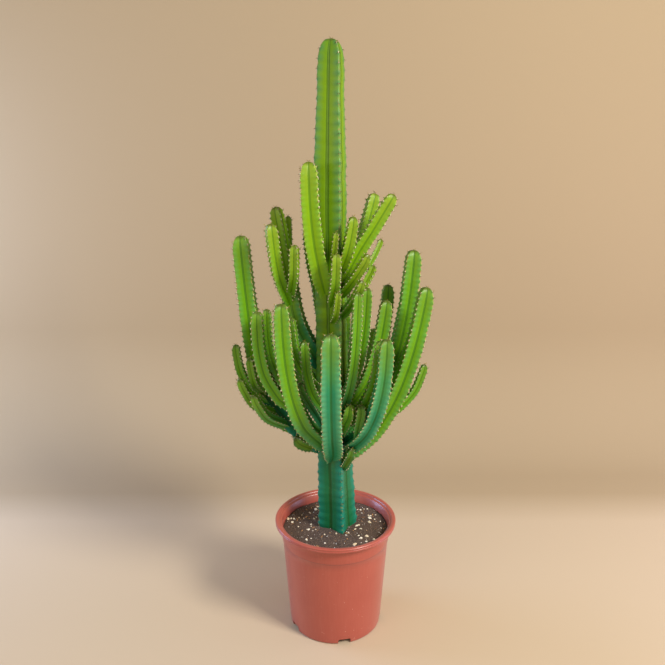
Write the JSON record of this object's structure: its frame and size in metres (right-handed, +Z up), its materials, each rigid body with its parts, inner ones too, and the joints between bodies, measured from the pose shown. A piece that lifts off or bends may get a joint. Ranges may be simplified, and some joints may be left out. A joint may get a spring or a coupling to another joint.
{
  "type": "potted euphorbia plant",
  "caption": "Candelabra euphorbia with ribbed, spiny upright stems in a lower and an upper crown round a tall leader, rooted in a tapered plastic nursery pot.",
  "frame": {"origin": "middle of the pot's underside, on the surface that it stands on", "axes": "+Z up along the trunk; -Y is the front of the plant, where the thickest front stem stands; +X is the plant's right side as seen from the front"},
  "size_m": [0.3637, 0.2697, 1.1181],
  "materials": {
    "pot_plastic": "injection-moulded terracotta-coloured polypropylene, satin",
    "potting_mix": "damp peat and bark mix with pumice and perlite, matt",
    "old_stem_skin": "waxy blue-green skin of old wood, satin",
    "green_stem_skin": "waxy green stem skin, satin",
    "young_stem_skin": "waxy yellow-green young stem skin, satin"
  },
  "bodies": {
    "root": {"nursery_pot": "pot_plastic", "potting_mix": "potting_mix", "main_stem": "old_stem_skin", "back_centre_stem": "green_stem_skin", "back_far_left_stem": "green_stem_skin", "back_inner_left_stem": "green_stem_skin", "back_inner_right_stem": "green_stem_skin", "back_left_stem": "green_stem_skin", "back_right_stem": "green_stem_skin", "centre_back_shoot": "green_stem_skin", "far_left_limb": "old_stem_skin", "far_left_pup_1": "green_stem_skin", "far_left_pup_2": "green_stem_skin", "far_left_pup_3": "green_stem_skin", "far_left_pup_4": "green_stem_skin", "far_left_pup_5": "green_stem_skin", "far_left_pup_6": "green_stem_skin", "far_left_stem": "green_stem_skin", "far_right_stem": "green_stem_skin", "front_left_stem": "green_stem_skin", "front_pup": "green_stem_skin", "front_right_stem": "green_stem_skin", "front_stem": "green_stem_skin", "left_front_spur": "green_stem_skin", "left_high_stem": "green_stem_skin", "left_inner_arm": "green_stem_skin", "left_low_spur": "old_stem_skin", "left_low_stem": "green_stem_skin", "left_outer_arm": "green_stem_skin", "right_back_stem": "green_stem_skin", "right_front_arm": "green_stem_skin", "right_high_pup": "green_stem_skin", "right_inner_stem": "green_stem_skin", "right_low_pup": "green_stem_skin", "right_low_spur": "green_stem_skin", "right_mid_stem": "green_stem_skin", "right_slim_stem": "green_stem_skin", "right_tall_stem": "green_stem_skin", "trunk_spur": "old_stem_skin", "upper_back_left_stem": "young_stem_skin", "upper_back_low_stem": "young_stem_skin", "upper_back_right_stem": "young_stem_skin", "upper_back_tall_stem": "young_stem_skin", "upper_front_bud": "young_stem_skin", "upper_front_shoot": "young_stem_skin", "upper_front_spur": "young_stem_skin", "upper_left_back_tip": "young_stem_skin", "upper_left_front_spur": "young_stem_skin", "upper_left_inner_arm": "young_stem_skin", "upper_left_limb": "old_stem_skin", "upper_left_outer_arm": "young_stem_skin", "upper_left_tall_stem": "young_stem_skin", "upper_right_back_arm": "young_stem_skin", "upper_right_front_arm": "young_stem_skin", "upper_right_long_arm": "young_stem_skin", "upper_right_low_spur": "young_stem_skin", "upper_right_spur": "young_stem_skin", "upper_right_stub": "young_stem_skin", "upper_right_twig": "young_stem_skin"}
  },
  "joints": []
}
